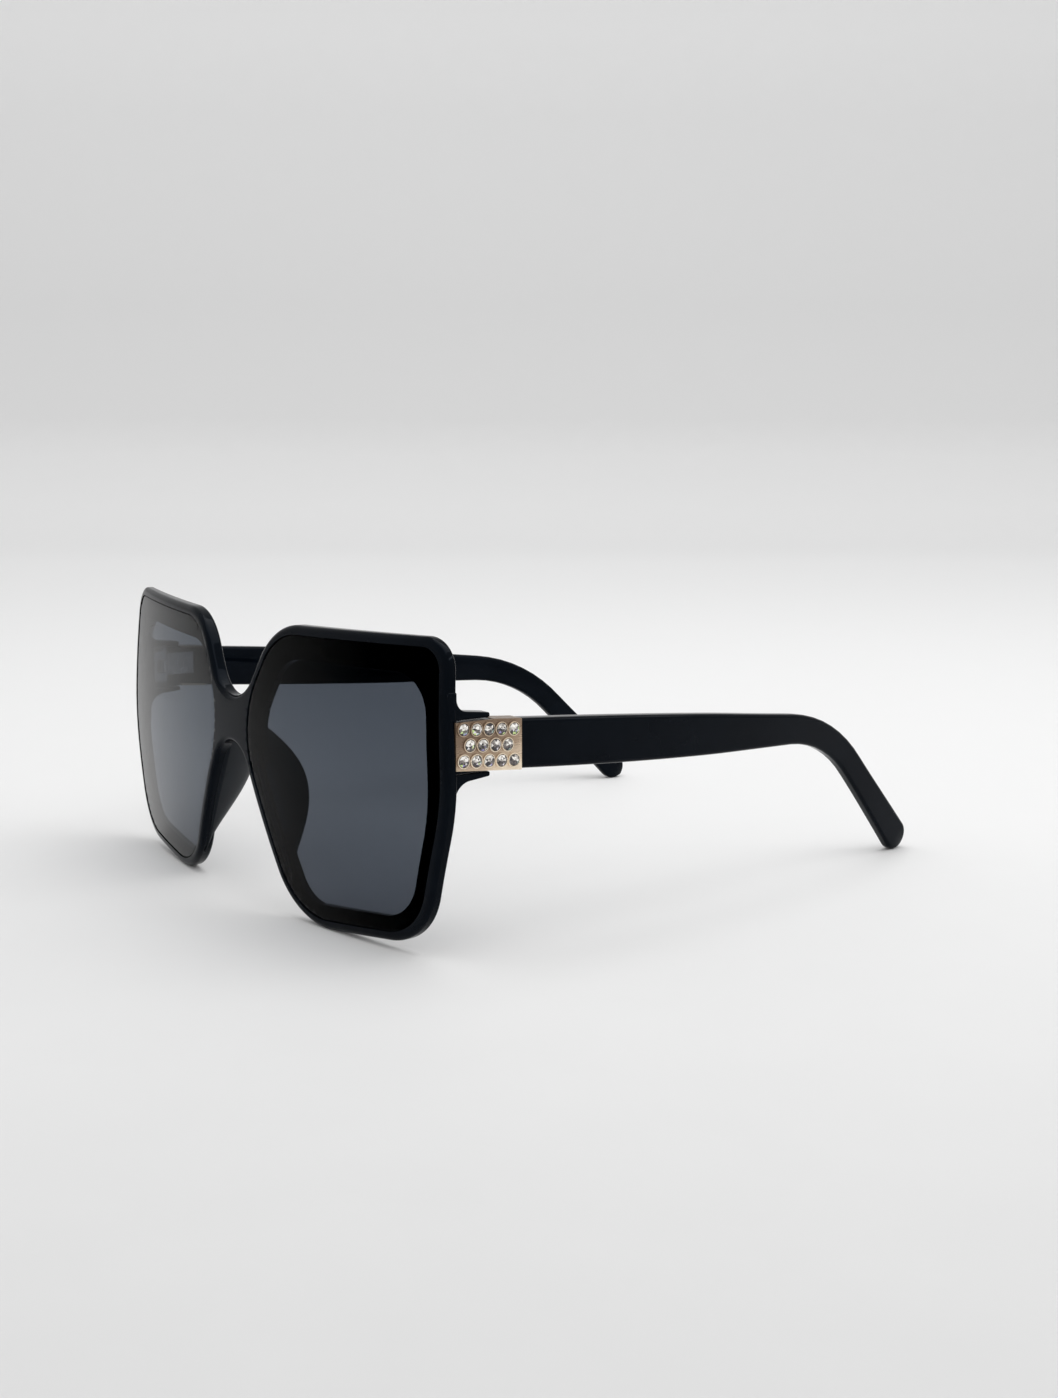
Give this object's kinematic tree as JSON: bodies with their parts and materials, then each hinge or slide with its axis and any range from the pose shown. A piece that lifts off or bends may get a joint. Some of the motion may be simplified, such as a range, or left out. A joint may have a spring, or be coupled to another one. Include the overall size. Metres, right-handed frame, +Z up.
{
  "type": "sunglasses",
  "caption": "Oversized square sunglasses with smoky lenses set flush in a black front, folding temples, and a metal plate of clear stones on each temple.",
  "frame": {"origin": "on the table, under the middle of the whole length, in the mirror plane", "axes": "+Z up, the front faces -Y, the temples run towards +Y, +X is the wearer's left"},
  "size_m": [0.149, 0.1616, 0.0659],
  "materials": {
    "frame_black": "polished injection-moulded black",
    "temple_black": "polished black",
    "smoke_lens": "smoky see-through tint, hard-coated",
    "champagne_metal": "satin champagne plating",
    "crystal": "faceted clear, foil backed",
    "hinge_metal": "satin steel"
  },
  "bodies": {
    "front": {"front_frame": "frame_black", "lens_left": "smoke_lens", "lens_right": "smoke_lens", "front_leaf_left": "hinge_metal", "front_leaf_right": "hinge_metal", "hinge_screw_left": "hinge_metal", "hinge_screw_right": "hinge_metal", "front_rivet_left_1": "hinge_metal", "front_rivet_left_2": "hinge_metal", "front_rivet_right_1": "hinge_metal", "front_rivet_right_2": "hinge_metal"},
    "left_temple": {"temple_left": "temple_black", "ornament_plate_left": "champagne_metal", "temple_leaf_left": "hinge_metal", "temple_rivet_left_1": "hinge_metal", "temple_rivet_left_2": "hinge_metal", "stone_left_01": "crystal", "stone_left_02": "crystal", "stone_left_03": "crystal", "stone_left_04": "crystal", "stone_left_05": "crystal", "stone_left_06": "crystal", "stone_left_07": "crystal", "stone_left_08": "crystal", "stone_left_09": "crystal", "stone_left_10": "crystal", "stone_left_11": "crystal", "stone_left_12": "crystal", "stone_left_13": "crystal", "stone_left_14": "crystal"},
    "right_temple": {"temple_right": "temple_black", "ornament_plate_right": "champagne_metal", "temple_leaf_right": "hinge_metal", "temple_rivet_right_1": "hinge_metal", "temple_rivet_right_2": "hinge_metal", "stone_right_01": "crystal", "stone_right_02": "crystal", "stone_right_03": "crystal", "stone_right_04": "crystal", "stone_right_05": "crystal", "stone_right_06": "crystal", "stone_right_07": "crystal", "stone_right_08": "crystal", "stone_right_09": "crystal", "stone_right_10": "crystal", "stone_right_11": "crystal", "stone_right_12": "crystal", "stone_right_13": "crystal", "stone_right_14": "crystal"}
  },
  "joints": [
    {"name": "left_temple_fold", "type": "hinge", "parent": "front", "child": "left_temple", "pos_m": [0.0678, -0.06608, 0.0449], "axis": [0, 0, 1], "range_deg": [0, 81]},
    {"name": "right_temple_fold", "type": "hinge", "parent": "front", "child": "right_temple", "pos_m": [-0.0678, -0.06608, 0.0449], "axis": [0, 0, -1], "range_deg": [0, 86]}
  ]
}
